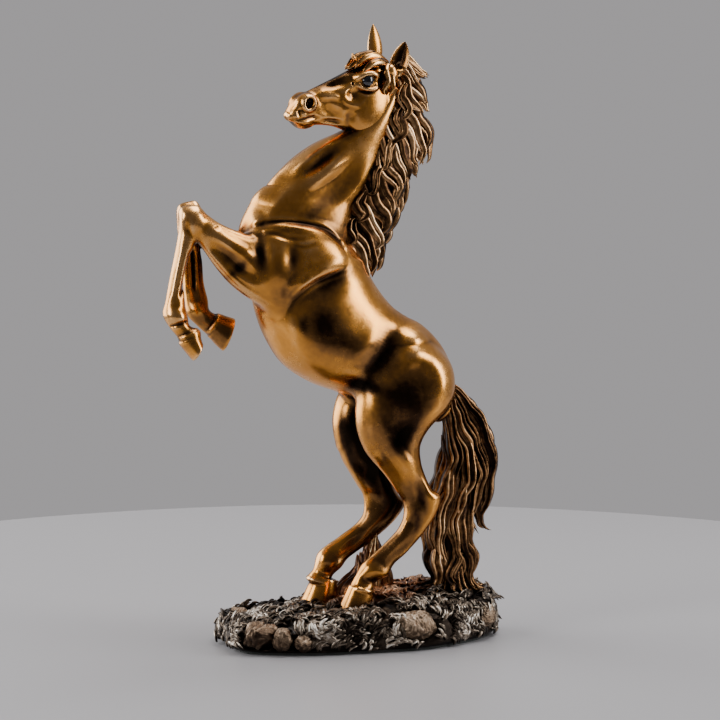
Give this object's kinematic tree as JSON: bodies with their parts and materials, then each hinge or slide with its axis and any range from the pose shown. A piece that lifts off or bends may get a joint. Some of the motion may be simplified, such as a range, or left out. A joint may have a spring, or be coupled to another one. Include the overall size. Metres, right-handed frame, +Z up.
{
  "type": "horse statue",
  "caption": "Rearing horse statue in bronze, with a flowing mane and tail, on an oval base of grass and stones with felt underneath.",
  "frame": {"origin": "middle of the felt's underside, on the surface that the statue stands on", "axes": "+Z up; the horse faces -X; its left side is -Y"},
  "size_m": [0.1792, 0.0744, 0.3129],
  "materials": {
    "bronze": "polished copper-gold bronze with a dark brown patina in the hollows",
    "hair_bronze": "dark brown patina with gold rubbed on the ridges of the hair",
    "grass_bronze": "near-black patina with silver and gold rubbed on the blades",
    "stone_bronze": "brown patina worn pale on the stones' crowns",
    "eye": "glossy blue-black inlay",
    "steel": "plain turned steel",
    "felt": "dark felt"
  },
  "bodies": {
    "root": {"trunk": "bronze", "neck": "bronze", "head": "bronze", "left_ear": "bronze", "right_ear": "bronze", "left_eye": "eye", "right_eye": "eye", "forelock": "hair_bronze", "mane_upper": "hair_bronze", "mane_middle": "hair_bronze", "mane_lower": "hair_bronze", "left_foreleg": "bronze", "right_foreleg": "bronze", "left_hind_leg": "bronze", "right_hind_leg": "bronze", "tail": "hair_bronze", "base_casting": "grass_bronze", "base_stones": "stone_bronze", "grass_clump": "grass_bronze", "felt_pad": "felt", "neck_ring": "bronze", "head_pin": "steel", "foreleg_pins": "steel", "hind_leg_pins": "steel", "tail_pin": "steel", "base_studs": "steel", "stud_washers": "steel", "stud_nuts": "steel"}
  },
  "joints": []
}
